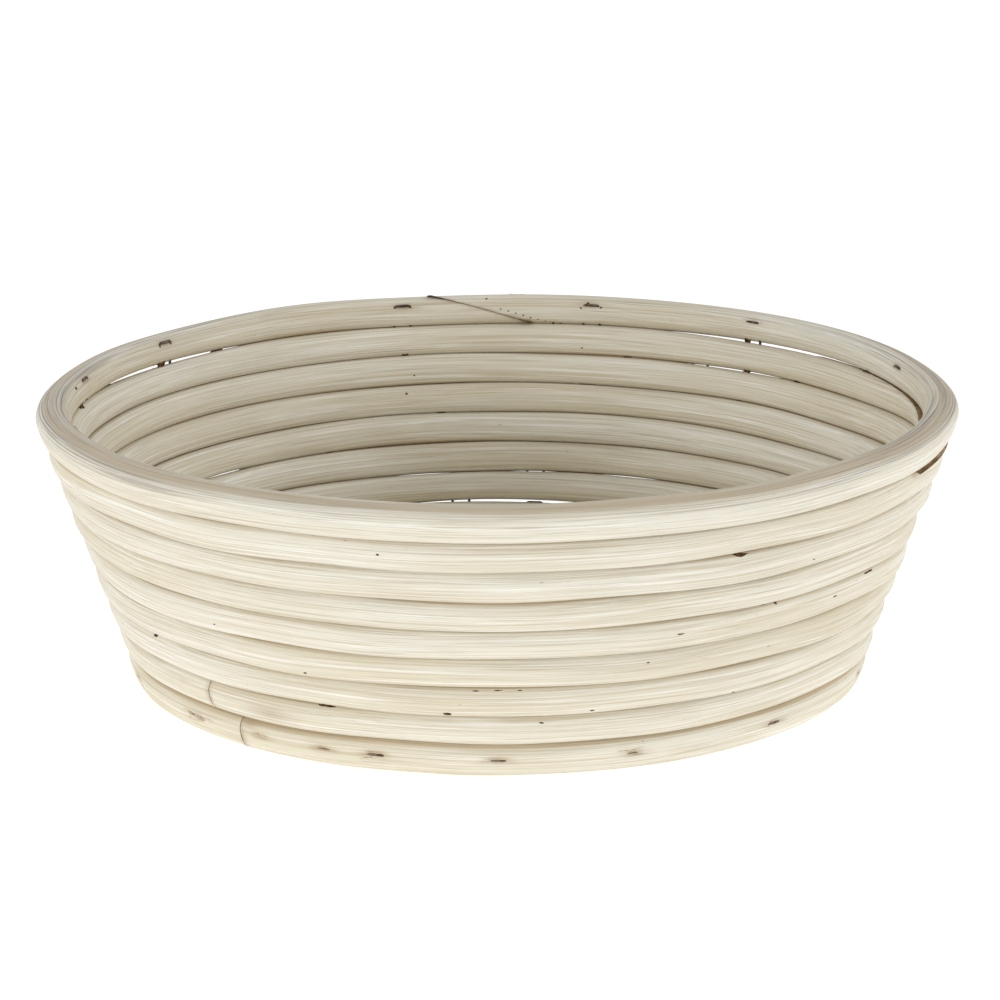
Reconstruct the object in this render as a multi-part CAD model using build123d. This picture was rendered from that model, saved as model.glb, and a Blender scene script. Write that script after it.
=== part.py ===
"""Round proofing basket (banneton), coiled from round rattan cane and fastened with wire staples.

Millimetres, +Z up, origin at the middle of the underside. Angles are in degrees about +Z, from +X towards +Y.
A turn's level is counted from the foot ring, which is level 0. The coil rises clockwise, seen from above.
Every wall turn is level, apart from the climb, a sector where it rises to the next level. The first turn climbs
off the foot ring and the last one climbs under the rim hoop, and both of those ends are pared to a taper.
"""
import os
from math import ceil, cos, degrees, pi, radians, sin

from build123d import *

# ---- driving dimensions: cane ----
RIM_OUTER_D = 250.0       # over the rim hoop
CANE_D = 8.8              # round cane of every piece but the foot ring
FOOT_CANE_D = 10.0        # round cane of the foot ring
TURN_GAP = 0.1            # free space between neighbouring turns
WALL_LEAN = 19.4          # how far the wall leans out from upright
WALL_TURNS = 7            # between the foot ring and the rim hoop
FOOT_SANDED = 0.3         # depth of the flat that is sanded on the underside

# ---- driving dimensions: coil ----
CLIMB_START = 38.0        # angle where each wall turn leaves its level
CLIMB_SLOWNESS = 14.5     # length of the climb over its rise up the wall
TIP_TRIM = 12.0           # part of the climb that a pared end stops short of
SPLICE_ANGLE = -136.0     # where the short first cane meets the long one
FOOT_BUTT_ANGLE = -131.0  # where the two ends of the foot ring meet
BUTT_GAP = 0.2            # between two ends that meet square
BASE_TAPER_SPAN = 120.0   # sector over which the outer end of the base coil is pared
MIN_BEND_RADIUS = 7.0     # tightest turn at the middle of the base

# ---- driving dimensions: rim scarf joint ----
SCARF_ANGLE = 92.5        # middle of the joint
SCARF_LENGTH = 30.0       # along the rim
SCARF_GAP = 0.15

# ---- driving dimensions: staples ----
WIRE_D = 0.8
STAPLE_CROWN = 5.0        # between the middles of the two legs
STAPLE_LEG = 12.0         # from the top of the crown to the tip
STAPLE_BEND = 0.9         # radius at the middle of the wire
CROWN_PROUD = 0.05        # how far a crown stands out of the cane
FOOT_STAPLE_ANGLES = (-163, -143, -139, -127, -116, -108, -90, -70, -45, -17, 10, 33, 52, 78, 102, 127, 149)
RIM_STAPLE_ANGLES = (169, 145, 104, 76, 50, 16, -14, -40, -64, -88, -113, -138, -163)
RIM_STAPLE_SIDE = 35.0    # how far round the rim from its inner side the crown sits
WALL_STAPLE_MARGIN = 13.0  # from the end of a climb to the first staple
WALL_STAPLE_STEP = 25.0   # between staples of one turn
BASE_STAPLE_STEP = 45.0   # between staples of one wide base turn
BASE_STAPLE_PITCH = 9.0   # least distance between staples of neighbouring base turns
STAPLED_BEND_MIN = 13.0   # base turns with a smaller radius take no staples

# ---- derived sizes ----
CANE_R = CANE_D / 2
FOOT_CANE_R = FOOT_CANE_D / 2
FOOT_EXTRA = FOOT_CANE_R - CANE_R
TURN_PITCH = CANE_D + TURN_GAP
STEP_OUT = TURN_PITCH * sin(radians(WALL_LEAN))
RISE = TURN_PITCH * cos(radians(WALL_LEAN))
RIM_LEVEL = WALL_TURNS + 1
RIM_R = RIM_OUTER_D / 2 - CANE_R
FOOT_R = RIM_R - RIM_LEVEL * STEP_OUT
FOOT_Z = FOOT_CANE_R - FOOT_SANDED + FOOT_EXTRA * cos(radians(WALL_LEAN))
BASE_R = FOOT_R - FOOT_EXTRA * sin(radians(WALL_LEAN)) - FOOT_CANE_R - TURN_GAP - CANE_R
BASE_Z = CANE_R - FOOT_SANDED
FULL_TURN = 360.0
HALF_TURN = 180.0
CLIMB_SPAN = degrees(CLIMB_SLOWNESS * TURN_PITCH / FOOT_R)
CLIMB_END = CLIMB_START - CLIMB_SPAN
LEVEL_SPAN = FULL_TURN - CLIMB_SPAN
TIP_SHARE = TIP_TRIM / (CLIMB_SPAN / 2)


# ---- places on the basket ----
def outward(angle):
    """Level direction away from the basket's axis."""
    return Vector(cos(radians(angle)), sin(radians(angle)), 0)


def clockwise(angle):
    """Direction in which the coil runs at this angle."""
    return Vector(sin(radians(angle)), -cos(radians(angle)), 0)


def up_wall(angle):
    """Direction from one wall turn to the turn above it."""
    return outward(angle) * sin(radians(WALL_LEAN)) + Vector(0, 0, cos(radians(WALL_LEAN)))


def on_level(level, angle):
    """Middle of the cane on a level turn. On level 0 it lies in the top of the thicker foot ring."""
    return outward(angle) * (FOOT_R + level * STEP_OUT) + Vector(0, 0, FOOT_Z + level * RISE)


def on_foot(angle):
    """Middle of the foot ring's cane."""
    return on_level(0, angle) - up_wall(angle) * FOOT_EXTRA


def on_base(radius, angle, centre):
    """Point of a base turn, which lies on the table like the foot ring."""
    return centre + outward(angle) * radius + Vector(0, 0, BASE_Z)


# ---- cane ----
def level_arc(level, start, span):
    """Middle line of a level turn, clockwise from the start angle."""
    points = [on_level(level, start - span * share) for share in (0, 0.5, 1)]
    return ThreePointArc(*points)


def climb_arcs(level):
    """Two tangent arcs that take a turn from its level to the next one."""
    start, end = on_level(level, CLIMB_START), on_level(level + 1, CLIMB_END)
    start_way, end_way = clockwise(CLIMB_START), clockwise(CLIMB_END)
    chord, ways = end - start, start_way + end_way
    turned = 2 * (1 - start_way.dot(end_way))
    along = chord.dot(ways)
    reach = (-along + (along**2 + turned * chord.dot(chord)) ** 0.5) / turned
    near, far = start + start_way * reach, end - end_way * reach
    meeting = (near + far) / 2
    return [
        TangentArc(start, meeting, tangent=start_way),
        TangentArc(meeting, end, tangent=far - near),
    ]


def swept(section, arcs):
    """Solid of a section carried along tangent arcs."""
    return sweep(section, path=Wire([arc.edge() for arc in arcs]))


def cane(arcs, radius=CANE_R):
    """Round cane along tangent arcs."""
    first = arcs[0]
    return swept(Plane(origin=first @ 0, z_dir=first % 0) * Circle(radius), arcs)


def pared(end, hoop_level):
    """Climbing end of the coil, cut flat where it slides under the rim hoop or onto the foot ring."""
    way = clockwise(CLIMB_START)
    face = CANE_R + TURN_GAP
    away = up_wall(CLIMB_START) * (1 if hoop_level else -1)
    depth, width = 3 * CANE_D, 3 * CANE_D
    middle = on_level(hoop_level, CLIMB_START) + away * (depth / 2 - face)
    waste = Plane(origin=middle, x_dir=way.cross(away), z_dir=way) * Rectangle(width, depth)
    return end - swept(waste, [level_arc(hoop_level, CLIMB_START, CLIMB_SPAN)])


def make_foot_ring():
    butt = BUTT_GAP / (2 * pi * FOOT_R) * FULL_TURN
    start, span = FOOT_BUTT_ANGLE - butt / 2, FULL_TURN - butt
    points = [on_foot(start - span * share) for share in (0, 0.5, 1)]
    return sanded(cane([ThreePointArc(*points)], FOOT_CANE_R))


def make_base_coil():
    """Flat spiral of half circles about two centres, with its outer end pared to fill the foot ring."""
    half_step = TURN_PITCH / 2
    arcs = []
    for half in reversed(range(base_halves())):
        points = [on_base_half(half, start) for start in (HALF_TURN, HALF_TURN / 2, 0)]
        arcs.append(ThreePointArc(*points))
    coil = cane(arcs)
    tail_points = [on_base(BASE_R, -BASE_TAPER_SPAN * share, Vector()) for share in (0, 0.5, 1)]
    tail = cane([ThreePointArc(*tail_points)])
    inner_turn = Cylinder(BASE_R - half_step + CANE_R + TURN_GAP, 2 * CANE_D)
    return sanded(coil + (tail - Pos(-half_step, 0, BASE_Z) * inner_turn))


def base_halves():
    """How many half turns fit between the foot ring and the tightest bend."""
    return ceil((BASE_R - MIN_BEND_RADIUS) / (TURN_PITCH / 2))


def base_half_centre(half):
    """Even halves turn about the basket's axis, odd ones about a point half a pitch beside it."""
    return Vector(-TURN_PITCH / 2, 0, 0) if half % 2 else Vector()


def on_base_half(half, turned):
    """Point of a half turn of the base, counted inward, at an angle from its outer end."""
    side = HALF_TURN if half % 2 else 0
    return on_base(BASE_R - half * TURN_PITCH / 2, side + turned, base_half_centre(half))


def sanded(piece):
    """Piece with its underside sanded flat at the level of the table."""
    return piece - Pos(0, 0, -CANE_R) * Box(RIM_OUTER_D, RIM_OUTER_D, CANE_D)


def make_wall_cane_start():
    first, second = climb_arcs(0)
    taper = cane([first.edge().trim(TIP_SHARE, 1), second])
    rest = cane([level_arc(1, CLIMB_END, CLIMB_END - SPLICE_ANGLE)])
    return pared(taper, 0) + rest


def make_wall_cane():
    butt = BUTT_GAP / (2 * pi * FOOT_R) * FULL_TURN
    first_span = LEVEL_SPAN - (CLIMB_END - SPLICE_ANGLE) - butt
    arcs = [level_arc(1, SPLICE_ANGLE - butt, first_span)]
    for level in range(2, WALL_TURNS + 1):
        arcs += climb_arcs(level - 1)
        arcs.append(level_arc(level, CLIMB_END, LEVEL_SPAN))
    first, second = climb_arcs(WALL_TURNS)
    taper = cane([first, second.edge().trim(0, 1 - TIP_SHARE)])
    return cane(arcs) + pared(taper, RIM_LEVEL)


def make_rim_hoop():
    """Closed hoop whose ends overlap in a slanting scarf joint."""
    hoop = Pos(0, 0, on_level(RIM_LEVEL, 0).Z) * Torus(RIM_R, CANE_R)
    way = clockwise(SCARF_ANGLE) * SCARF_LENGTH - Vector(0, 0, CANE_D)
    saw_cut = Box(way.length + CANE_D, 2 * CANE_D, SCARF_GAP)
    place = Plane(origin=on_level(RIM_LEVEL, SCARF_ANGLE), x_dir=way, z_dir=way.cross(outward(SCARF_ANGLE)))
    return hoop - place * saw_cut


# ---- staples ----
# The legs are driven into solid cane, which closes tightly around the wire, so the cane has no holes.
def make_staple():
    """Staple with its crown along X, its legs down and the top of its crown in the XY plane."""
    crown_z = -WIRE_D / 2
    corners = [
        (-STAPLE_CROWN / 2, 0, -STAPLE_LEG),
        (-STAPLE_CROWN / 2, 0, crown_z),
        (STAPLE_CROWN / 2, 0, crown_z),
        (STAPLE_CROWN / 2, 0, -STAPLE_LEG),
    ]
    wire = FilletPolyline(*corners, radius=STAPLE_BEND)
    section = Plane(origin=corners[0], z_dir=(0, 0, 1)) * Circle(WIRE_D / 2)
    return sweep(section, path=wire)


def driven(middle, away, along, radius=CANE_R):
    """Place of a staple that is driven into the cane's middle from the side that faces away."""
    return Plane(origin=middle + away * (radius + CROWN_PROUD), x_dir=along, z_dir=away)


def foot_places():
    angles = FOOT_STAPLE_ANGLES
    return [driven(on_foot(angle), outward(angle), clockwise(angle), FOOT_CANE_R) for angle in angles]


def wall_places(level):
    """Down the wall, from the top of a turn; the staples of the next turn stand between them."""
    first = CLIMB_END - WALL_STAPLE_MARGIN - (0 if level % 2 else WALL_STAPLE_STEP / 2)
    count = int((first - CLIMB_START + FULL_TURN) // WALL_STAPLE_STEP) + 1
    angles = [first - number * WALL_STAPLE_STEP for number in range(count)]
    return [driven(on_level(level, angle), up_wall(angle), clockwise(angle)) for angle in angles]


def rim_places():
    """From the inner side of the rim, slanting down into the turn beneath."""
    places = []
    for angle in RIM_STAPLE_ANGLES:
        side = radians(RIM_STAPLE_SIDE)
        skin = Vector(0, 0, sin(side)) - outward(angle) * cos(side)
        crown = on_level(RIM_LEVEL, angle) + skin * (CANE_R + CROWN_PROUD)
        up_leg = (crown - on_level(WALL_TURNS, angle)).normalized()
        places.append(Plane(origin=crown + up_leg * WIRE_D / 2, x_dir=clockwise(angle), z_dir=up_leg))
    return places


def base_places():
    """Level, from the outer side of each base turn into the turn inside it."""
    places = []
    for half in range(base_halves()):
        centre, radius = base_half_centre(half), BASE_R - half * TURN_PITCH / 2
        if radius - TURN_PITCH < STAPLED_BEND_MIN:
            break
        step = BASE_STAPLE_STEP
        while radians(step) / 2 * radius < BASE_STAPLE_PITCH:
            step *= 2
        turned = step / 2 if (half // 2) % 2 == 0 else step
        while turned < HALF_TURN:
            angle = turned + (HALF_TURN if half % 2 else 0)
            places.append(driven(on_base(radius, angle, centre), outward(angle), clockwise(angle)))
            turned += step
    return places


def main():
    os.makedirs("parts", exist_ok=True)
    places = {"base_staples": base_places(), "foot_staples": foot_places(), "rim_staples": rim_places()}
    for level in range(1, WALL_TURNS + 1):
        places[f"wall_staples_{level}"] = wall_places(level)
    staple = make_staple()
    pieces = {node: Compound(children=[place * staple for place in group]) for node, group in places.items()}
    pieces["base_coil"] = make_base_coil()
    pieces["foot_ring"] = make_foot_ring()
    pieces["wall_cane_start"] = make_wall_cane_start()
    pieces["wall_cane"] = make_wall_cane()
    pieces["rim_hoop"] = make_rim_hoop()
    for node, piece in pieces.items():
        export_step(piece, f"parts/{node}.step")


main()
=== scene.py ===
"""Round proofing basket, coiled from bleached rattan cane, on a white table in soft light.

Metres, +Z up. Angles are about +Z from +X towards +Y, and the coil runs clockwise.
A turn's level is counted from the foot ring (0) to the rim hoop (8).
"""
from math import cos, pi, radians, sin

import bpy
import numpy as np
from mathutils import Matrix, Vector
from mathutils.bvhtree import BVHTree


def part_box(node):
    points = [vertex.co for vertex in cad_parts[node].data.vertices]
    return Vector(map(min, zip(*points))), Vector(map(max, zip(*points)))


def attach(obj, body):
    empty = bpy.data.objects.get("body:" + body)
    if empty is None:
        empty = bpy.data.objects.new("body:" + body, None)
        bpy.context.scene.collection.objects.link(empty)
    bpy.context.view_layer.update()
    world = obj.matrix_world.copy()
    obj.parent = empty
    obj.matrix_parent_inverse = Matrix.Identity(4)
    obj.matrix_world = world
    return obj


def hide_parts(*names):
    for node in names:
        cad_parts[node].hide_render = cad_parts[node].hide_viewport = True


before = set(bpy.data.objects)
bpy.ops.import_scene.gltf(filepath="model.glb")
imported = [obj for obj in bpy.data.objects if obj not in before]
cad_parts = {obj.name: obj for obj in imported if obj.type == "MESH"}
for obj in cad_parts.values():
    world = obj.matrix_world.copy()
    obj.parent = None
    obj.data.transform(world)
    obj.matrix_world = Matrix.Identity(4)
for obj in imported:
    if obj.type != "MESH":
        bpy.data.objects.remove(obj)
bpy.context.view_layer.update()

MM = 0.001
SEED = 7

# ---- sizes read from the frame ----
RIM_LO, RIM_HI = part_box("rim_hoop")
FOOT_LO, FOOT_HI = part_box("foot_ring")
BASE_LO, BASE_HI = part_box("base_coil")
CANE_R = (RIM_HI.z - RIM_LO.z) / 2
RIM_LEVEL = 8
RIM_R = RIM_HI.x - CANE_R
RIM_Z = RIM_HI.z - CANE_R
WALL_LEAN = radians(19.4)
PITCH = 2 * CANE_R + 0.1 * MM
STEP_OUT = PITCH * sin(WALL_LEAN)
RISE = PITCH * cos(WALL_LEAN)
FOOT_R = RIM_R - RIM_LEVEL * STEP_OUT
FOOT_Z = RIM_Z - RIM_LEVEL * RISE
FOOT_SANDED = 0.3 * MM
FOOT_CANE_R = (FOOT_HI.z + FOOT_SANDED) / 2
BASE_R = BASE_HI.x - CANE_R
BASE_Z = BASE_HI.z - CANE_R

# ---- the coil, in degrees as in the frame ----
CLIMB_START = 38.0
CLIMB_SPAN = 76.3
TIP_TRIM = 12.0
SPLICE = -136.0
FOOT_BUTT = -131.0
SCARF = 92.5
SCARF_HALF = 7.6
SCARF_GAP = 0.14 * MM
SCARF_BEYOND = 0.1 * MM    # how far the slanting cut runs past the cane's skin
SPLICE_GAP = 0.1           # degrees
BUTT_GAP = 0.12 * MM
BASE_HALVES = 19
BASE_TAIL = 120.0
TAIL_CUT = 0.9             # share of the half thickness left above the cut at the tail

# ---- the shape of the cane's surface ----
TOUCH = 0.07 * MM          # how far neighbouring turns press into each other
WOBBLE_OUT = 0.32 * MM     # how far a turn strays in or out of the wall
WOBBLE_UP = 0.26 * MM      # how far it strays up or down
FOOT_CALM = 0.6            # share of that in-and-out straying on the foot ring
RIM_CALM = 0.4             # and on the rim hoop
BASE_CALM = 0.5            # and on the base
THICKNESS = 0.03           # share by which a turn's thickness varies
FULLNESS = 2.8             # 2 is a round section, and more is squarer
RIDGE = 0.035 * MM         # height of the lengthwise ridges
RIDGE_DRIFT = 0.11         # length of cane over which the ridges change
RIM_SKIN = 0.12 * MM       # extra cane over the rim's staples
RIM_TILT = 0.35 * MM       # how far the rim stands higher on its right
CUT_STAIN = 0.5            # tone of the brown line beside a cut
CUT_STAIN_WIDTH = 0.35 * MM
CUT_REACH = 0.985          # share of the half thickness that a cut may reach
GRAIN_SHIFT = 0.37         # shift of the grain from one level to the next
HOOP_TURNS = 0.5           # place of a hoop between two turns of the random curves
BASE_TURNS = 20            # place of the base in the same curves
CUT_SNAP = 1e-6            # points this close to a cut lie on it
CUT_CORNER = 0.98          # share of the half thickness up to which a cut has corners

# ---- mesh steps: length along the cane and number of points round it ----
WALL_STEP, WALL_AROUND = 2.05 * MM, 34
START_STEP, START_AROUND = 1.5 * MM, 36
FOOT_STEP, FOOT_AROUND = 1.3 * MM, 44
RIM_STEP, RIM_AROUND = 1.2 * MM, 48
BASE_STEP, BASE_AROUND = 2.2 * MM, 30
CANE_FACE, CUT_FACE = 0, 1


# ---- small helpers ----
def waves(seed, count, low, high):
    """A fixed set of (frequency, phase, weight, drift) for a smooth random curve."""
    rng = np.random.default_rng(seed)
    frequency = rng.integers(low, high, count)
    weight = rng.uniform(0.4, 1.0, count) / np.sqrt(frequency)
    weight /= np.sqrt((weight**2).sum() / 2)
    phase = rng.uniform(0, 2 * pi, count)
    return list(zip(frequency, phase, weight, rng.uniform(1.3, 5.0, count)))


OUT_WAVES = waves(SEED, 7, 2, 15)
UP_WAVES = waves(SEED + 1, 7, 2, 12)
THICK_WAVES = waves(SEED + 2, 6, 2, 18)
RIDGE_WAVES = waves(SEED + 3, 9, 4, 15)


WANDER_SIZE = 1.6


def wander(terms, turns, azimuth):
    """Smooth random value of about -1 to 1 at an azimuth, different on each turn."""
    total = np.zeros_like(azimuth)
    for frequency, phase, weight, drift in terms:
        total += weight * np.cos(frequency * azimuth + phase + drift * turns)
    return total / WANDER_SIZE


def bump(x, width):
    """Smooth hump of height 1 at zero."""
    return np.exp(-((x / width) ** 2))


def turned_away(one, other):
    """Signed difference of two angles, between half a turn back and half a turn on."""
    return (one - other + pi) % (2 * pi) - pi


def degrees_away(one, other):
    return np.abs((one - other + 180) % 360 - 180)


def unit(vectors):
    return vectors / np.linalg.norm(vectors, axis=1)[:, None]


def run_along(points):
    """Distance along a line of points."""
    steps = np.linalg.norm(np.diff(points, axis=0), axis=1)
    return np.concatenate([[0], np.cumsum(steps)])


def climb(share):
    """Share of the rise done after a share of the climb."""
    share = np.clip(share, 0, 1)
    return np.where(share < 0.5, 2 * share**2, 1 - 2 * (1 - share) ** 2)


def level_of(turned):
    """Level of the coil after a number of degrees from the start of the first climb."""
    turn, rest = np.divmod(turned, 360)
    return turn + climb(rest / CLIMB_SPAN)


# ---- open gaps between neighbouring turns: lower level, middle, half span, width ----
OPENINGS = (
    (7, 146, 17, 0.55),
    (7, 46, 20, 0.60),
    (6, 53, 9, 0.30),
    (3, 138, 5, 0.16),
    (2, 102, 6, 0.16),
    (2, 84, 5, 0.14),
    (2, 68, 6, 0.18),
    (1, 85, 20, 0.75),
)
OPENING_SHAPE = 0.8


def opening(lower, azimuth):
    """Width of the open gap above a level."""
    degrees_round = np.degrees(azimuth) % 360
    total = np.zeros_like(azimuth)
    for level, middle, half, width in OPENINGS:
        away = (degrees_round - middle) / half
        here = lower == level
        total += here * width * MM * np.clip(1 - away**2, 0, 1) ** OPENING_SHAPE
        total += here * TOUCH * 2 * bump(away, 1.0)
    return total


# ---- canes ----
class Line:
    """Middle line of a cane with the directions across it and its half sizes, one row for each ring."""

    def __init__(self, azimuth, radius, height, level, turns, flat=False):
        self.azimuth, self.level, self.turns = azimuth, level, turns
        ring = np.stack([np.cos(azimuth), np.sin(azimuth), np.zeros_like(azimuth)], 1)
        out, up = (1.0, 0.0) if flat else (STEP_OUT / PITCH, RISE / PITCH)
        self.outward = ring
        self.side = ring * out + np.array([0, 0, up])
        self.stray_out = WOBBLE_OUT * wander(OUT_WAVES, turns, azimuth)
        self.stray_up = WOBBLE_UP * wander(UP_WAVES, turns, azimuth)
        centre = ring * radius[:, None] + np.array([0, 0, 1]) * height[:, None]
        way = unit(np.gradient(centre, axis=0))
        self.side = unit(self.side - way * (self.side * way).sum(1)[:, None])
        self.face = np.cross(self.side, way)
        self.centre = centre
        self.way = way
        thick = 1 + THICKNESS * wander(THICK_WAVES, turns, azimuth)
        count = len(azimuth)
        self.half_face = CANE_R * thick
        self.half_back = CANE_R * thick
        self.half_up = np.full(count, CANE_R + TOUCH)
        self.half_down = np.full(count, CANE_R + TOUCH)
        self.keep_below = np.full(count, np.inf)
        self.keep_above = np.full(count, -np.inf)
        self.run = run_along(centre)


def wall_line(turned, hoop=None):
    """Line of part of the wall coil, or of a hoop that stays on one level."""
    azimuth = np.radians(CLIMB_START - turned)
    if hoop is None:
        level, turns = level_of(turned), turned / 360
    else:
        level, turns = np.full(len(turned), float(hoop)), np.full(len(turned), hoop + HOOP_TURNS)
    line = Line(azimuth, FOOT_R + level * STEP_OUT, FOOT_Z + level * RISE, level, turns)
    share = (turned % 360) / 360
    climb_share = CLIMB_SPAN / 360
    above = np.where(turns + 1 < RIM_LEVEL - 1 + climb_share, turns + 1, RIM_LEVEL + HOOP_TURNS)
    below = np.where(turns >= 1, turns - 1, HOOP_TURNS)
    if hoop == 0:
        above = share
        line.stray_out *= FOOT_CALM
    if hoop == RIM_LEVEL:
        line.stray_out *= RIM_CALM
        line.half_back += RIM_SKIN
        below = share + np.where(share < climb_share, RIM_LEVEL - 1, RIM_LEVEL - 2)
    own = line.stray_up
    if hoop != RIM_LEVEL:
        line.half_up += (WOBBLE_UP * wander(UP_WAVES, above, azimuth) - own) / 2
    if hoop != 0:
        line.half_down += (own - WOBBLE_UP * wander(UP_WAVES, below, azimuth)) / 2
    nearest = np.round(line.level)
    line.half_up -= opening(nearest, azimuth) / 2
    line.half_down -= opening(nearest - 1, azimuth) / 2
    if hoop == 0:
        extra = FOOT_CANE_R - CANE_R
        line.centre -= line.side * extra
        for half in (line.half_up, line.half_down, line.half_face, line.half_back):
            half += extra
    return line


def warp(points):
    """Slight tilt of the upper wall, the same for every piece."""
    share = np.clip(points[:, 2] / RIM_Z, 0, 1)
    points[:, 2] += RIM_TILT * share * points[:, 0] / RIM_R
    return points


def ring_angles(line, around):
    """Angles round the section, with points moved on to the corners of a cut."""
    angles = np.tile(np.linspace(0, 2 * pi, around, endpoint=False), (len(line.run), 1))
    for limit, sign in ((line.keep_below, 1), (line.keep_above, -1)):
        share = np.clip(sign * np.where(np.isfinite(limit), limit, sign) / CANE_R, -0.999, 1)
        for row in np.where(share < CUT_CORNER)[0]:
            lean = np.arcsin(share[row])
            for corner in (sign * lean, sign * (pi - lean)):
                nearest = np.abs(turned_away(angles[row], corner)).argmin()
                angles[row, nearest] = corner
    return angles


def section(line, angles):
    """Place of each point along the face and up the side: fuller than an ellipse, with ridges."""
    across, upward = np.cos(angles), np.sin(angles)
    fuller = (np.abs(across) ** FULLNESS + np.abs(upward) ** FULLNESS) ** (-1 / FULLNESS)
    across, upward = across * fuller, upward * fuller
    half_up = np.where(upward > 0, line.half_up[:, None], line.half_down[:, None])
    half_far = np.where(across > 0, line.half_face[:, None], line.half_back[:, None])
    swell = 1 + RIDGE * wander(RIDGE_WAVES, line.run[:, None] / RIDGE_DRIFT, angles) / CANE_R
    return across, upward, half_far * across * swell, half_up * upward * swell


def dents_and_stains(line, angles, marks):
    """How deep each point is sunk and how brown it is, from the marks."""
    sunk, stain = np.zeros_like(angles), np.zeros_like(angles)
    for run_at, angle_at, length, width, depth, tone in marks:
        along = bump(line.run - run_at, length)[:, None]
        around_it = bump(turned_away(angles, angle_at) * CANE_R, width)
        sunk += depth * along * around_it
        stain = np.maximum(stain, tone * along * around_it)
    return sunk, stain


def tube(name, line, around, marks=()):
    """Closed mesh of one cane, with its lengthwise coordinate stored for the grain."""
    angles = ring_angles(line, around)
    across, upward, far, high = section(line, angles)
    sunk, stain = dents_and_stains(line, angles, marks)
    far -= across * sunk
    high -= upward * sunk
    lowest, highest = line.keep_above[:, None], line.keep_below[:, None]
    for limit in (highest, lowest):
        near = np.where(np.isfinite(limit), limit, 1.0)
        stain = np.maximum(stain, CUT_STAIN * bump(high - near, CUT_STAIN_WIDTH))
    cut = (high > highest - CUT_SNAP) | (high < lowest + CUT_SNAP)
    high = np.clip(high, lowest, highest)
    middle = line.centre + line.face * line.stray_out[:, None] + line.side * line.stray_up[:, None]
    points = middle[:, None] + far[..., None] * line.face[:, None] + high[..., None] * line.side[:, None]
    run = line.run[:, None] + GRAIN_SHIFT * (line.level[0] + 1)
    grain = np.stack([np.broadcast_to(run, far.shape), far, high], 2)
    points = warp(points.reshape(-1, 3))
    points[:, 2] = np.maximum(points[:, 2], 0)
    index = np.arange(len(points)).reshape(-1, around)
    return tube_mesh(name, points, index, grain, cut, stain)


def link_piece(name, mesh):
    """Object of a mesh of cane that belongs to the basket's one body."""
    piece = bpy.data.objects.new(name, mesh)
    bpy.context.scene.collection.objects.link(piece)
    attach(piece, "root")
    return piece


def tube_mesh(name, points, index, grain, cut, stain):
    """Joins the rings of points, closes both ends and stores what the materials read."""
    following = np.roll(index, -1, axis=1)
    quads = np.stack([index[:-1], following[:-1], following[1:], index[1:]], 2).reshape(-1, 4)
    faces = [tuple(quad) for quad in quads] + [tuple(index[0][::-1]), tuple(index[-1])]
    mesh = bpy.data.meshes.new(name)
    mesh.from_pydata([tuple(point) for point in points], [], faces)
    mesh.attributes.new("grain", "FLOAT_VECTOR", "POINT").data.foreach_set("vector", grain.ravel())
    mesh.attributes.new("stain", "FLOAT", "POINT").data.foreach_set("value", stain.ravel())
    materials = np.full(len(mesh.polygons), CUT_FACE, np.int32)
    materials[: len(quads)] = np.where(cut.ravel()[quads].all(1), CUT_FACE, CANE_FACE)
    mesh.polygons.foreach_set("material_index", materials)
    mesh.polygons.foreach_set("use_smooth", np.ones(len(mesh.polygons), bool))
    mesh.validate()
    mesh.update()
    mark_sharp(mesh)
    return link_piece(name, mesh)


def mark_sharp(mesh):
    """Crisp edges round every cut face."""
    edge_faces = {}
    for face in mesh.polygons:
        for key in face.edge_keys:
            edge_faces.setdefault(key, []).append(face.material_index)
    sharp = [len(set(edge_faces.get(edge.key, ()))) > 1 for edge in mesh.edges]
    mesh.attributes.new("sharp_edge", "BOOLEAN", "EDGE").data.foreach_set("value", sharp)


def span(start, end, step, radius):
    """Degrees turned from start to end in steps of about this length."""
    count = max(4, int(radians(abs(end - start)) * radius / step))
    return np.linspace(start, end, count)


# ---- where the staples are, read from the frame ----
CROWN_DEPTH_OUT = 0.6 * MM      # crowns are the outermost points of the foot's staples
CROWN_DEPTH_UP = 2.2 * MM       # and the highest points of the rim's
STAPLE_APART = 2.5              # degrees, more than a crown's own width
STAPLE_DENT = (2.9 * MM, 0.75 * MM, 0.30 * MM, 0.8)
RIM_CROWN = radians(164)


def staple_azimuths(node, far_out=True):
    """Azimuths of the staples of a node, from the points of their crowns."""
    points = np.array([vertex.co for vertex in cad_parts[node].data.vertices])
    distance, height = np.hypot(points[:, 0], points[:, 1]), points[:, 2]
    reach, depth = (distance, CROWN_DEPTH_OUT) if far_out else (height, CROWN_DEPTH_UP)
    crown = points[reach > reach.max() - depth]
    found = np.sort(np.degrees(np.arctan2(crown[:, 1], crown[:, 0])))
    groups = np.split(found, np.where(np.diff(found) > STAPLE_APART)[0] + 1)
    return [float((group[0] + group[-1]) / 2) for group in groups]


# ---- marks on the canes: azimuth, level, degrees round the section, length, width, depth, tone ----
MARKS = (
    (-124, 1, 2, 6.5, 2.2, 0.03, 0.4),
    (-129.6, 0, 48, 3.0, 1.1, 0.03, 0.5),
    (-130.6, 0, 0, 1.3, 5.0, 0.05, 0.7),
    (-135.6, 1, 10, 0.9, 4.0, 0.04, 0.5),
    (87, 8, -110, 3.0, 0.9, 0.3, 1.0),
)


SAME_LEVEL = 0.3
MARK_REACH = 2             # degrees; a mark farther from a line isn't on it


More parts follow.
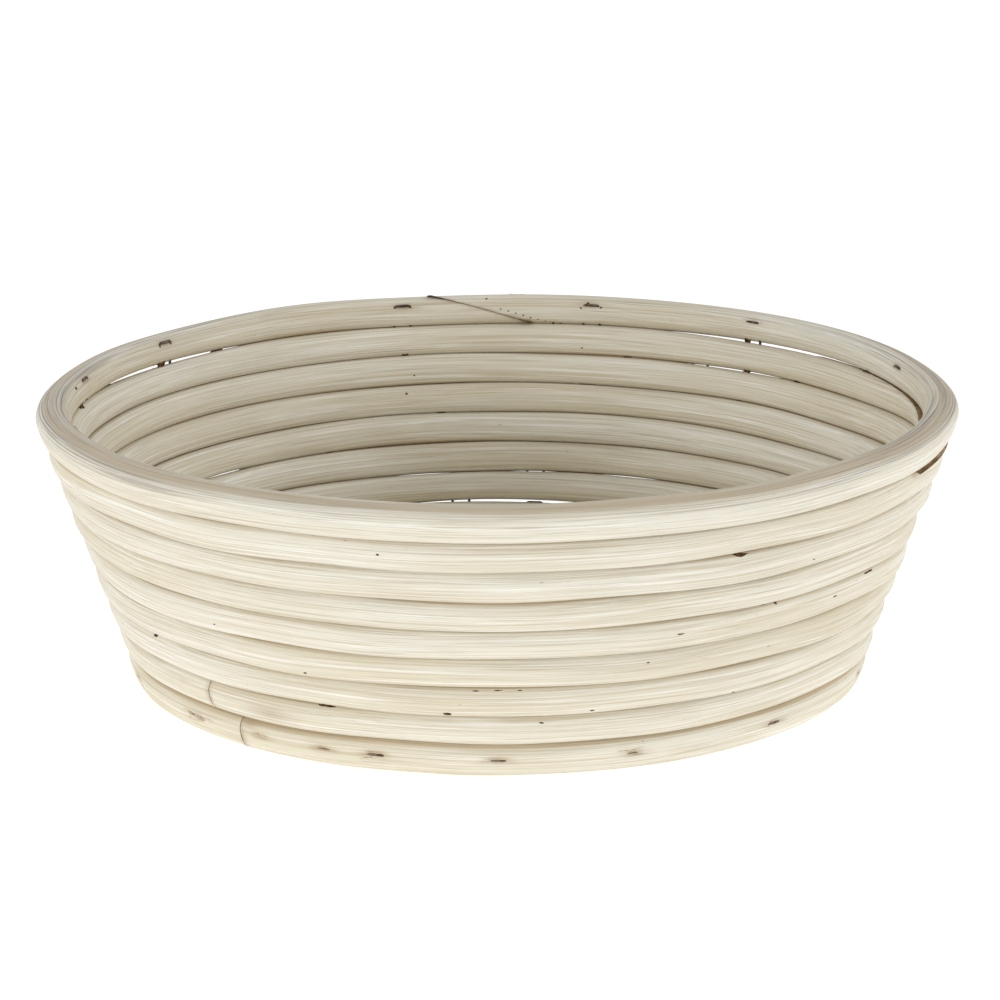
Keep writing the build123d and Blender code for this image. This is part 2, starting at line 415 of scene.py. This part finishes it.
def marks_on(line, level):
    """Marks of one level as places along a line."""
    found = []
    for azimuth, on_level, angle, length, width, depth, tone in MARKS:
        if on_level != level:
            continue
        near = degrees_away(np.degrees(line.azimuth), azimuth)
        fitting = np.abs(line.level - level) < SAME_LEVEL
        row = np.where(fitting, near, np.inf).argmin()
        if near[row] < MARK_REACH:
            found.append((line.run[row], radians(angle), length * MM, width * MM, depth * MM, tone))
    return found


def staple_marks(line, azimuths, angle):
    """Dents that staple crowns leave in a hoop."""
    azimuth_of = np.degrees(line.azimuth)
    rows = [degrees_away(azimuth_of, azimuth).argmin() for azimuth in azimuths]
    return [(line.run[row], angle, *STAPLE_DENT) for row in rows]


# ---- the pieces ----
def make_wall_cane():
    """Long cane from the splice up to the rim, pared on its upper side on the last climb."""
    first = CLIMB_START - SPLICE + SPLICE_GAP
    last = 360 * (RIM_LEVEL - 1) + CLIMB_SPAN - TIP_TRIM
    line = wall_line(span(first, last, WALL_STEP, FOOT_R + RIM_LEVEL / 2 * STEP_OUT))
    top = (line.turns > RIM_LEVEL - 1) & (line.turns < RIM_LEVEL)
    limit = (RIM_LEVEL - line.level) * PITCH - CANE_R
    line.keep_below = np.where(top, limit, np.inf)
    line.half_up = np.where(top, CANE_R, line.half_up)
    marks = [mark for level in range(1, RIM_LEVEL) for mark in marks_on(line, level)]
    return tube("wall_cane_visual", line, WALL_AROUND, marks)


def make_wall_cane_start():
    """Short cane from the foot ring up to the splice, pared on its lower side on the first climb."""
    line = wall_line(span(TIP_TRIM, CLIMB_START - SPLICE, START_STEP, FOOT_R))
    low = line.turns * 360 < CLIMB_SPAN
    line.keep_above = np.where(low, CANE_R - line.level * PITCH, -np.inf)
    return tube("wall_cane_start_visual", line, START_AROUND, marks_on(line, 1))


def make_foot_ring():
    """Level hoop whose ends meet in a butt joint."""
    butt = np.degrees(BUTT_GAP / FOOT_R) / 2
    start = CLIMB_START - FOOT_BUTT
    line = wall_line(span(start + butt, start + 360 - butt, FOOT_STEP, FOOT_R), hoop=0)
    marks = marks_on(line, 0) + staple_marks(line, staple_azimuths("foot_staples"), WALL_LEAN)
    return tube("foot_ring_visual", line, FOOT_AROUND, marks)


def make_rim_hoop():
    """Open hoop whose ends lie over each other along a slanting cut."""
    start = CLIMB_START - SCARF - SCARF_HALF
    joint = 2 * SCARF_HALF
    line = wall_line(span(start, start + 360 + joint, RIM_STEP, RIM_R), hoop=RIM_LEVEL)
    turned = line.run / line.run[-1] * (360 + joint)
    from_start = turned / joint
    to_end = (turned - 360) / joint
    reach = CANE_R + TOUCH + SCARF_BEYOND
    lower = reach * (1 - 2 * from_start) + SCARF_GAP / 2
    upper = reach * (1 - 2 * to_end) - SCARF_GAP / 2
    line.keep_above = np.minimum(np.where(from_start < 1, lower, -np.inf), CANE_R * CUT_REACH)
    line.keep_below = np.maximum(np.where(to_end > 0, upper, np.inf), -CANE_R * CUT_REACH)
    crowns = staple_azimuths("rim_staples", far_out=False)
    marks = marks_on(line, RIM_LEVEL) + staple_marks(line, crowns, RIM_CROWN)
    return tube("rim_hoop_visual", line, RIM_AROUND, marks)


def make_base_coil():
    """Flat spiral of half circles about two centres, thinning out at its outer end."""
    tail = np.radians(span(-BASE_TAIL, 0, BASE_STEP, BASE_R)[:-1])
    parts = [(tail, BASE_R, 0.0)]
    for half in range(BASE_HALVES):
        size = BASE_R - half * PITCH / 2
        turned = span(0, 180, BASE_STEP, size)[:-1] + 180 * half
        parts.append((np.radians(turned), size, -PITCH / 2 if half % 2 else 0.0))
    azimuth = np.concatenate([angles for angles, _, _ in parts])
    radius = np.concatenate([np.full(len(angles), size) for angles, size, _ in parts])
    shift = np.concatenate([np.full(len(angles), move) for angles, _, move in parts])
    count = len(azimuth)
    turns = BASE_TURNS + azimuth / (2 * pi)
    line = Line(azimuth, radius, np.full(count, BASE_Z), np.full(count, -1.0), turns, flat=True)
    line.centre[:, 0] += shift
    line.way = unit(np.gradient(line.centre, axis=0))
    line.side = line.outward
    line.face = np.cross(line.side, line.way)
    line.run = run_along(line.centre)
    line.stray_out *= BASE_CALM
    line.stray_up *= 0
    inner = np.hypot(line.centre[:, 0] + PITCH / 2, line.centre[:, 1]) - (BASE_R - PITCH / 2) - CANE_R
    line.keep_above = np.where(azimuth < 0, -np.clip(inner, -CANE_R, CANE_R * TAIL_CUT), -np.inf)
    return tube("base_coil_visual", line, BASE_AROUND)


# ---- small damage: azimuth, level, degrees round the section, length, width ----
FLECKS = (
    (-59, 6, 60, 4.6, 1.0), (-63.5, 5, 66, 2.4, 0.5), (-53, 4, 66, 1.4, 0.6), (-51, 4, 60, 0.9, 0.9),
    (-66, 4, 18, 2.2, 0.4), (-39.5, 4, 22, 1.5, 0.5), (-30.5, 4, 52, 5.0, 0.5), (-147.5, 2, 57, 1.9, 1.2),
    (-116.5, 3, -23, 0.9, 0.6), (-97, 2, -28, 2.1, 1.3), (-77, 2, -27, 1.3, 0.5), (-55, 2, -41, 1.1, 0.7),
    (-84, 1, 41, 1.2, 0.4), (-96.5, 0, 70, 0.7, 0.5), (-93, 2, 55, 1.6, 0.3), (-90, 2, 57, 2.2, 0.35),
    (-87, 2, 56, 1.4, 0.3), (-115, 2, -64, 4.4, 0.3), (-150, 1, 62, 6.0, 0.45),
    (-104, 7, 20, 0.7, 0.5), (-70, 3, 30, 0.8, 0.4), (-130, 4, -10, 0.7, 0.4), (-47, 6, -15, 0.8, 0.4),
    (146, 7, 117, 3.6, 0.9), (172, 7, 128, 2.6, 1.4), (174, 8, 168, 1.8, 0.9), (70, 7, -112, 2.6, 1.0),
    (51, 7, 111, 2.2, 0.8), (50, 6, 113, 2.4, 0.7), (40.5, 6, 110, 2.4, 1.0), (25.5, 8, -122, 4.0, 1.0),
    (50.5, 6, -107, 2.2, 0.9), (76, 5, 108, 5.0, 0.5), (104, 6, 116, 2.4, 0.5), (103, 6, -155, 0.7, 0.5),
    (104.5, 5, 159, 0.9, 0.6), (77, 7, -145, 0.6, 0.5), (99, 4, 112, 3.0, 0.4), (118, 3, 110, 2.6, 0.5),
    (91.5, 8, 148, 0.7, 0.5), (76.5, 8, 158, 0.8, 0.7), (74.5, 8, 172, 0.8, 0.6), (77.5, 8, 178, 0.7, 0.5),
)
PORE_ROW = ((89.4, 187), (80.6, 246))
PORE_COUNT = 9
PORE_SIZE = (0.55, 0.4)
CHIP_CORNERS = 12
CHIP_ROUGH = (0.62, 1.25)
CHIP_LAYERS = ((1.0, -0.25), (1.0, 0.035), (0.45, 0.06))     # share of the outline, height in mm
FIBRE_STEPS = 6
FIBRE_ROOT = 0.04 * MM     # how far a torn fibre starts under the skin
FIBRE_TAPER = 0.85
FIBRE_FLAT = 0.8           # its height over its width
FIBRE_LENGTH = (1.6, 3.6)  # this and the next two in mm
FIBRE_LIFT = (0.15, 0.7)
FIBRE_WIDTH = (0.10, 0.20)
FIBRE_SCATTER = 0.014      # this and the next two in radians
FIBRE_SPREAD = 0.22
FIBRE_SLANT = 0.12
TORN_SIDE = radians(120)
TORN = (
    (-161, 0, 3), (-143, 0, 4), (-139, 0, 4), (-127, 0, 2), (-108, 0, 5), (-90, 0, 3), (-70, 0, 4),
    (-45, 0, 4), (172, 7, 5), (146, 7, 4), (50, 6, 3), (87, 8, 3),
)


SKIN_SEARCH = 1.2 * MM     # how far outside the nominal skin the search for it starts
SKIN_DEPTH = 3 * MM


def place_on(level, azimuth, angle, lift):
    """Nominal point over the skin of a level turn, with its outward direction and the cane's way."""
    outward = Vector((cos(azimuth), sin(azimuth), 0))
    side = outward * sin(WALL_LEAN) + Vector((0, 0, cos(WALL_LEAN)))
    way = Vector((sin(azimuth), -cos(azimuth), 0))
    away = side.cross(way) * cos(angle) + side * sin(angle)
    middle = outward * (FOOT_R + level * STEP_OUT) + Vector((0, 0, FOOT_Z + level * RISE))
    reach = CANE_R
    if level == 0:
        middle -= side * (FOOT_CANE_R - CANE_R)
        reach = FOOT_CANE_R
    return middle + away * (reach + lift), away, way


class Skin:
    """The canes' outer surface, to lay small things on."""

    def __init__(self, pieces):
        points, faces = [], []
        for piece in pieces:
            first = len(points)
            points += [vertex.co for vertex in piece.data.vertices]
            faces += [[first + corner for corner in face.vertices] for face in piece.data.polygons]
        self.tree = BVHTree.FromPolygons(points, faces)

    def at(self, level, azimuth, angle):
        """Point on the skin, with its outward direction and the cane's way."""
        start, away, way = place_on(level, azimuth, angle, SKIN_SEARCH)
        hit = self.tree.ray_cast(start, -away, SKIN_DEPTH)[0]
        return (hit if hit is not None else start - away * SKIN_SEARCH), away, way


def loose_piece(name, points, faces, material):
    """Piece made of small closed shapes."""
    mesh = bpy.data.meshes.new(name)
    mesh.from_pydata([tuple(point) for point in points], [], faces)
    mesh.materials.append(material)
    mesh.validate()
    mesh.update()
    return link_piece(name, mesh)


def chip_points(skin, rng, azimuth, level, angle, length, width):
    """Three rings of points: under the skin, just over it, and a smaller one on top."""
    points = []
    radius = FOOT_R + level * STEP_OUT
    rough = rng.uniform(*CHIP_ROUGH, CHIP_CORNERS)
    for share, height in CHIP_LAYERS:
        for corner in range(CHIP_CORNERS):
            turn = 2 * pi * corner / CHIP_CORNERS
            reach = rough[corner] * share
            along = cos(turn) * reach * length * MM / 2 / radius
            around = sin(turn) * reach * width * MM / 2 / CANE_R
            spot, away, _ = skin.at(level, radians(azimuth) + along, radians(angle) + around)
            points.append(spot + away * height * MM)
    return points


def ring_faces(start, rings, corners):
    """Faces of a closed shape made of rings of points one after another."""
    index = [list(range(start + ring * corners, start + (ring + 1) * corners)) for ring in range(rings)]
    faces = []
    for lower, upper in zip(index, index[1:]):
        for one in range(corners):
            two = (one + 1) % corners
            faces.append((lower[one], lower[two], upper[two], upper[one]))
    return faces + [tuple(reversed(index[0])), tuple(index[-1])]


def make_flecks(skin, material):
    """Dark chips and pores: small irregular flakes set into the skin."""
    rng = np.random.default_rng(SEED + 20)
    spots = list(FLECKS)
    (first, low), (last, high) = PORE_ROW
    for share in np.linspace(0, 1, PORE_COUNT):
        spots.append((first + (last - first) * share, RIM_LEVEL, low + (high - low) * share, *PORE_SIZE))
    points, faces = [], []
    for spot in spots:
        faces += ring_faces(len(points), len(CHIP_LAYERS), CHIP_CORNERS)
        points += chip_points(skin, rng, *spot)
    return loose_piece("cane_chips", points, faces, material)


def fibre_points(skin, rng, azimuth, level):
    """Rings of four points along one torn fibre that lifts off the skin and thins out."""
    points = []
    length = rng.uniform(*FIBRE_LENGTH) * MM
    lift = rng.uniform(*FIBRE_LIFT) * MM
    width = rng.uniform(*FIBRE_WIDTH) * MM
    heading = rng.choice((-1, 1))
    begin = radians(azimuth) + rng.uniform(-FIBRE_SCATTER, FIBRE_SCATTER)
    offset = WALL_LEAN if level == 0 else TORN_SIDE
    offset += rng.uniform(-FIBRE_SPREAD, FIBRE_SPREAD)
    slant = rng.uniform(-FIBRE_SLANT, FIBRE_SLANT)
    radius = FOOT_R + level * STEP_OUT
    for step in range(FIBRE_STEPS + 1):
        share = step / FIBRE_STEPS
        turn = begin + heading * length * share / radius
        spot, away, way = skin.at(level, turn, offset + slant * share)
        middle = spot + away * (lift * share**2 - FIBRE_ROOT)
        half = width * (1 - FIBRE_TAPER * share)
        across, tall = away.cross(way) * half, away * half * FIBRE_FLAT
        points += [middle + across, middle + tall, middle - across, middle - away * half]
    return points


def make_torn(skin, material):
    """Torn fibres that stand up beside some staples and joints."""
    rng = np.random.default_rng(SEED + 30)
    points, faces = [], []
    for azimuth, level, count in TORN:
        for _ in range(count):
            faces += ring_faces(len(points), FIBRE_STEPS + 1, 4)
            points += fibre_points(skin, rng, azimuth, level)
    return loose_piece("torn_fibres", points, faces, material)


# ---- material nodes ----
class Nodes:
    """Short ways to add and join shader nodes."""

    def __init__(self, name):
        self.material = bpy.data.materials.new(name)
        self.material.use_nodes = True
        self.tree = self.material.node_tree
        self.tree.nodes.clear()

    def add(self, kind, **settings):
        node = self.tree.nodes.new("ShaderNode" + kind)
        for key, value in settings.items():
            setattr(node, key, value)
        return node

    def put(self, value, socket):
        """Links an output to a socket, or sets the socket to a value."""
        if isinstance(value, bpy.types.NodeSocket):
            self.tree.links.new(value, socket)
        else:
            socket.default_value = value

    def attribute(self, name, output):
        return self.add("Attribute", attribute_name=name).outputs[output]

    def math(self, operation, one, two=0.0):
        node = self.add("Math", operation=operation)
        self.put(one, node.inputs[0])
        self.put(two, node.inputs[1])
        return node.outputs[0]

    def times(self, one, two):
        return self.math("MULTIPLY", one, two)

    def stretch(self, vector, scale, shift=(0, 0, 0)):
        node = self.add("Mapping")
        self.put(vector, node.inputs["Vector"])
        node.inputs["Scale"].default_value = scale
        node.inputs["Location"].default_value = shift
        return node.outputs[0]

    def noise(self, vector, detail, roughness):
        node = self.add("TexNoise")
        self.put(vector, node.inputs["Vector"])
        node.inputs["Scale"].default_value = 1.0
        node.inputs["Detail"].default_value = detail
        node.inputs["Roughness"].default_value = roughness
        return node.outputs["Fac"]

    def band(self, value, low, high, to_low=0.0, to_high=1.0):
        """Smooth change from one value to another while the input goes from low to high."""
        node = self.add("MapRange", interpolation_type="SMOOTHSTEP")
        for number, item in enumerate((value, low, high, to_low, to_high)):
            self.put(item, node.inputs[number])
        return node.outputs[0]

    def mix(self, share, one, two):
        """Colour one with a share of colour two over it."""
        node = self.add("Mix", data_type="RGBA", clamp_factor=True)
        colours = [socket for socket in node.inputs if socket.type == "RGBA"]
        self.put(share, node.inputs[0])
        for value, socket in zip((one, two), colours):
            self.put((*value, 1) if isinstance(value, tuple) else value, socket)
        return [socket for socket in node.outputs if socket.type == "RGBA"][0]

    def bump(self, height, distance, normal=None):
        node = self.add("Bump")
        node.inputs["Strength"].default_value = 1.0
        node.inputs["Distance"].default_value = distance
        self.put(height, node.inputs["Height"])
        if normal is not None:
            self.put(normal, node.inputs["Normal"])
        return node.outputs[0]

    def surface(self, colour, roughness, normal, specular, metallic=0.0, sheen=0.0):
        shader = self.add("BsdfPrincipled")
        self.put(colour, shader.inputs["Base Color"])
        self.put(roughness, shader.inputs["Roughness"])
        self.put(metallic, shader.inputs["Metallic"])
        shader.inputs["Specular IOR Level"].default_value = specular
        shader.inputs["Sheen Weight"].default_value = sheen
        self.put(normal, shader.inputs["Normal"])
        output = self.add("OutputMaterial")
        self.tree.links.new(shader.outputs[0], output.inputs[0])
        return self.material


def linear(*srgb):
    """Linear colour of an 8-bit display colour."""
    return tuple((value / 255) ** 2.2 for value in srgb)


CREAM = linear(231, 226, 211)
PALE = linear(237, 232, 217)
SHEEN_WHITE = linear(247, 245, 236)
STRAW = linear(222, 213, 190)
TAN = linear(198, 180, 146)
SHADE = linear(182, 172, 146)
RUST = linear(150, 118, 78)
BROWN = linear(92, 68, 46)
WEATHERED = linear(146, 141, 140)
PITH = linear(182, 156, 116)
FIBRE = linear(140, 110, 74)
CHIP_DARK = linear(52, 40, 30)
CHIP_LIGHT = linear(112, 84, 54)
SPLINTER_DARK = linear(170, 140, 98)
SPLINTER_LIGHT = linear(214, 198, 164)
STEEL = linear(120, 112, 104)
RUSTED = linear(84, 58, 40)
GRIMY = linear(58, 50, 44)
WHITE = (1, 1, 1, 1)

# ---- noise scales per metre: along the cane, then twice across it ----
FINE_SCALE = (24, 3600, 3600)
FIBRE_SCALE = (13, 2300, 2300)
GLOSS_SCALE = (18, 1300, 1300)
BAND_SCALE = (7, 700, 700)
PATCH_SCALE = (11, 60, 60)
SPECK_SCALE = (330, 2300, 2300)
CUT_FIBRE_SCALE = (60, 2600, 2600)
CUT_PATCH_SCALE = (90, 500, 500)
CHIP_SCALE = (1500, 1500, 1500)
SPLINTER_SCALE = (700, 700, 700)
SPOT_SCALE = (900, 900, 900)
GRIME_SCALE = (260, 260, 260)

# ---- depth of the bumps ----
CANE_BUMP = 0.22 * MM
CUT_BUMP = 0.3 * MM
CHIP_BUMP = 0.2 * MM
SPLINTER_BUMP = 0.1 * MM
WIRE_BUMP = 0.05 * MM


def cane_material():
    """Peeled, bleached cane: long pale fibres, glossy white streaks with a painted sheen, and tan towards
    the joints that is partly brown dirt and partly painted shade in the grooves.
    """
    n = Nodes("bleached_cane")
    grain = n.attribute("grain", "Vector")
    parts = n.add("SeparateXYZ")
    n.put(grain, parts.inputs[0])
    high = n.math("DIVIDE", parts.outputs[2], CANE_R)
    fine = n.noise(n.stretch(grain, FINE_SCALE), 3.0, 0.65)
    fibres = n.noise(n.stretch(grain, FIBRE_SCALE, (3, 1, 2)), 4.0, 0.62)
    bands = n.noise(n.stretch(grain, BAND_SCALE, (7, 4, 1)), 3.0, 0.55)
    gloss_and_sheen = n.noise(n.stretch(grain, GLOSS_SCALE, (5, 5, 8)), 4.0, 0.65)
    colour = fibre_colour(n, grain, fine, fibres, bands, gloss_and_sheen)
    colour = groove_shade_and_dirt_colour(n, colour, high, bands)
    colour = aged_colour(n, colour, grain, high, fine, fibres)
    roughness = n.band(gloss_and_sheen, 0.45, 0.70, 0.62, 0.36)
    height = n.math("ADD", n.times(fibres, 0.6), n.times(fine, 0.4))
    normal = n.bump(height, CANE_BUMP)
    normal = n.bump(bands, CANE_BUMP, normal)
    return n.surface(colour, roughness, normal, specular=0.45, sheen=0.05)


def fibre_colour(n, grain, fine, fibres, bands, gloss_and_sheen):
    """Pale patches, darker fibres, and white streaks painted along the glossy streaks as a painted sheen.
    """
    patches = n.noise(n.stretch(grain, PATCH_SCALE, (1, 9, 5)), 2.0, 0.5)
    colour = n.mix(n.band(patches, 0.35, 0.68), CREAM, STRAW)
    colour = n.mix(n.times(n.band(bands, 0.40, 0.66), 0.35), colour, PALE)
    # painted sheen: the colour turns whiter along the glossy streaks, on top of the real highlight from
    # their lower roughness
    colour = n.mix(n.times(n.band(gloss_and_sheen, 0.50, 0.66), 0.80), colour, SHEEN_WHITE)
    colour = n.mix(n.times(n.band(fibres, 0.50, 0.63), 0.55), colour, TAN)
    return n.mix(n.times(n.band(fine, 0.50, 0.66), 0.50), colour, SHADE)


def groove_shade_and_dirt_colour(n, colour, high, bands):
    """Tan towards the neighbouring turns, and browner where they touch: partly brown dirt, partly painted
    shade where the grooves fall dark.
    """
    tall = n.math("ABSOLUTE", high)
    # painted groove shade with brown dirt: the colour turns tan towards the neighbouring turns and browner
    # at the line where they touch
    groove_shade_and_tan = n.times(n.band(tall, 0.84, 1.0), n.band(bands, 0.38, 0.62, 0.05, 0.42))
    colour = n.mix(groove_shade_and_tan, colour, TAN)
    return n.mix(n.times(n.band(tall, 0.965, 1.01), 0.40), colour, PITH)


def aged_colour(n, colour, grain, high, fine, fibres):
    """Dark specks, grey weathered streaks on top, and stains at the marks."""
    specks = n.noise(n.stretch(grain, SPECK_SCALE, (2, 6, 3)), 1.0, 0.5)
    colour = n.mix(n.times(n.band(specks, 0.79, 0.84), 0.8), colour, BROWN)
    streaks = n.times(n.band(fibres, 0.44, 0.60), n.band(fine, 0.40, 0.62, 0.25, 1.0))
    grey = n.times(n.times(n.attribute("weather", "Fac"), n.band(high, 0.0, 0.9)), streaks)
    colour = n.mix(grey, colour, WEATHERED)
    stain = n.times(n.attribute("stain", "Fac"), n.band(fibres, 0.30, 0.60, 0.65, 1.0))
    return n.mix(stain, colour, RUST)


def chip_material():
    """Dark wood where the skin is chipped or pierced."""
    n = Nodes("chipped_cane")
    place = n.add("TexCoord").outputs["Object"]
    coarse = n.noise(n.stretch(place, CHIP_SCALE), 3.0, 0.6)
    colour = n.mix(n.band(coarse, 0.38, 0.62), CHIP_DARK, CHIP_LIGHT)
    roughness = n.band(coarse, 0.3, 0.7, 0.7, 0.95)
    return n.surface(colour, roughness, n.bump(coarse, CHIP_BUMP), specular=0.2)


def torn_material():
    """Straw-coloured splinters."""
    n = Nodes("torn_cane")
    place = n.add("TexCoord").outputs["Object"]
    coarse = n.noise(n.stretch(place, SPLINTER_SCALE), 3.0, 0.6)
    colour = n.mix(n.band(coarse, 0.38, 0.62), SPLINTER_DARK, SPLINTER_LIGHT)
    roughness = n.band(coarse, 0.3, 0.7, 0.6, 0.85)
    return n.surface(colour, roughness, n.bump(coarse, SPLINTER_BUMP), specular=0.3)


def cut_material():
    """Sawn or pared cane: open brown fibres."""
    n = Nodes("pared_cane")
    grain = n.attribute("grain", "Vector")
    fibres = n.noise(n.stretch(grain, CUT_FIBRE_SCALE), 4.0, 0.65)
    coarse = n.noise(n.stretch(grain, CUT_PATCH_SCALE, (4, 1, 2)), 2.0, 0.5)
    colour = n.mix(n.band(fibres, 0.35, 0.65), FIBRE, PITH)
    colour = n.mix(n.times(n.band(coarse, 0.5, 0.7), 0.6), colour, BROWN)
    roughness = n.band(coarse, 0.3, 0.7, 0.7, 0.9)
    return n.surface(colour, roughness, n.bump(fibres, CUT_BUMP), specular=0.3)


def wire_material():
    """Dull steel wire, darkened and spotted with rust."""
    n = Nodes("tarnished_wire")
    place = n.add("TexCoord").outputs["Object"]
    spots = n.noise(n.stretch(place, SPOT_SCALE), 3.0, 0.6)
    grime = n.noise(n.stretch(place, GRIME_SCALE, (3, 3, 3)), 2.0, 0.5)
    colour = n.mix(n.band(spots, 0.42, 0.62), STEEL, RUSTED)
    colour = n.mix(n.band(grime, 0.45, 0.65), colour, GRIMY)
    metal = n.band(spots, 0.40, 0.60, 0.7, 0.1)
    roughness = n.band(spots, 0.35, 0.65, 0.42, 0.8)
    return n.surface(colour, roughness, n.bump(spots, WIRE_BUMP), specular=0.4, metallic=metal)


# ---- stage ----
FLOOR_HALF, FLOOR_BACK = 3.0, 4.0
FLOOR_PAINT = (0.95, 0.95, 0.95, 1)
FLOOR_GLOW = 0.42


def make_floor():
    """Plain white table that goes far past the picture."""
    mesh = bpy.data.meshes.new("floor")
    sides = (-FLOOR_HALF, FLOOR_HALF)
    corners = [(x, -FLOOR_HALF, 0) for x in sides] + [(x, FLOOR_BACK, 0) for x in reversed(sides)]
    mesh.from_pydata(corners, [], [(0, 1, 2, 3)])
    floor = bpy.data.objects.new("floor", mesh)
    bpy.context.scene.collection.objects.link(floor)
    n = Nodes("white_table")
    shader = n.add("BsdfDiffuse")
    shader.inputs["Color"].default_value = FLOOR_PAINT
    glow = n.add("Emission")
    glow.inputs["Color"].default_value = WHITE
    glow.inputs["Strength"].default_value = FLOOR_GLOW
    both = n.add("AddShader")
    n.tree.links.new(shader.outputs[0], both.inputs[0])
    n.tree.links.new(glow.outputs[0], both.inputs[1])
    n.tree.links.new(both.outputs[0], n.add("OutputMaterial").inputs[0])
    mesh.materials.append(n.material)


# ---- light: name, place, width and height, power ----
SOFT_BOXES = (
    ("key_left", (-1.6, -1.5, 0.50), (1.3, 0.5), 11.9),
    ("key_right", (1.6, -1.5, 0.50), (1.3, 0.5), 5.0),
    ("side_left", (-1.9, 0.1, 1.2), (1.2, 1.0), 5.3),
    ("side_right", (1.9, 0.1, 1.2), (1.2, 1.0), 11.8),
)
LIT_POINT = (0, 0, 0.04)
ROOM_LIGHT = 0.50

# ---- camera ----
CAMERA_PLACE = (0.00071, -1.11247, 0.34868)
CAMERA_TARGET = (0.00071, 0, 0.04565)
CAMERA_ROLL = radians(-0.23)
CAMERA_LENS = 150.947
CAMERA_SENSOR = 36.0


def aim(thing, place, target, roll=0.0):
    """Puts a camera or lamp at a place, turned towards a target."""
    way = (Vector(target) - Vector(place)).normalized()
    right = way.cross(Vector((0, 0, 1))).normalized()
    up = right.cross(way)
    turned_right = right * cos(roll) + up * sin(roll)
    turned_up = up * cos(roll) - right * sin(roll)
    basis = Matrix((turned_right, turned_up, -way)).transposed().to_4x4()
    basis.translation = Vector(place)
    thing.matrix_world = basis


def soft_box(name, place, size, power):
    lamp = bpy.data.lights.new(name, "AREA")
    lamp.shape = "RECTANGLE"
    lamp.size, lamp.size_y = size
    lamp.energy = power
    holder = bpy.data.objects.new(name, lamp)
    bpy.context.scene.collection.objects.link(holder)
    aim(holder, place, LIT_POINT)


def make_light():
    world = bpy.data.worlds.new("studio")
    world.use_nodes = True
    background = world.node_tree.nodes["Background"]
    background.inputs["Color"].default_value = WHITE
    background.inputs["Strength"].default_value = ROOM_LIGHT
    bpy.context.scene.world = world
    for box in SOFT_BOXES:
        soft_box(*box)


def make_camera():
    view = bpy.data.cameras.new("camera")
    view.sensor_width = CAMERA_SENSOR
    view.lens = CAMERA_LENS
    camera = bpy.data.objects.new("camera", view)
    bpy.context.scene.collection.objects.link(camera)
    aim(camera, CAMERA_PLACE, CAMERA_TARGET, CAMERA_ROLL)
    bpy.context.scene.camera = camera
    bpy.context.scene.view_settings.view_transform = "Standard"


RIM_WEATHER = (0.62, 0.45)
NO_WEATHER = (0.0, 0.0)


def weather(piece, mean, swing):
    """Stores how grey each point of a piece has weathered, more at the sides than front and back."""
    mesh = piece.data
    points = np.zeros(len(mesh.vertices) * 3)
    mesh.vertices.foreach_get("co", points)
    points = points.reshape(-1, 3)
    azimuth = np.arctan2(points[:, 1], points[:, 0])
    value = np.clip(mean + swing * np.cos(2 * azimuth), 0, 1)
    mesh.attributes.new("weather", "FLOAT", "POINT").data.foreach_set("value", value)


def main():
    """Builds the stage, the canes, the small damage, and dresses the staples."""
    make_camera()
    make_floor()
    make_light()
    cane, cut, wire = cane_material(), cut_material(), wire_material()
    stands_for = {
        "wall_cane": make_wall_cane(),
        "wall_cane_start": make_wall_cane_start(),
        "foot_ring": make_foot_ring(),
        "rim_hoop": make_rim_hoop(),
        "base_coil": make_base_coil(),
    }
    for node, piece in stands_for.items():
        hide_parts(node)
        piece.data.materials.append(cane)
        piece.data.materials.append(cut)
        weather(piece, *(RIM_WEATHER if node == "rim_hoop" else NO_WEATHER))
    skin = Skin(stands_for.values())
    make_flecks(skin, chip_material())
    make_torn(skin, torn_material())
    for node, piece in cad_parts.items():
        if "staples" in node:
            piece.data.materials.clear()
            piece.data.materials.append(wire)


main()
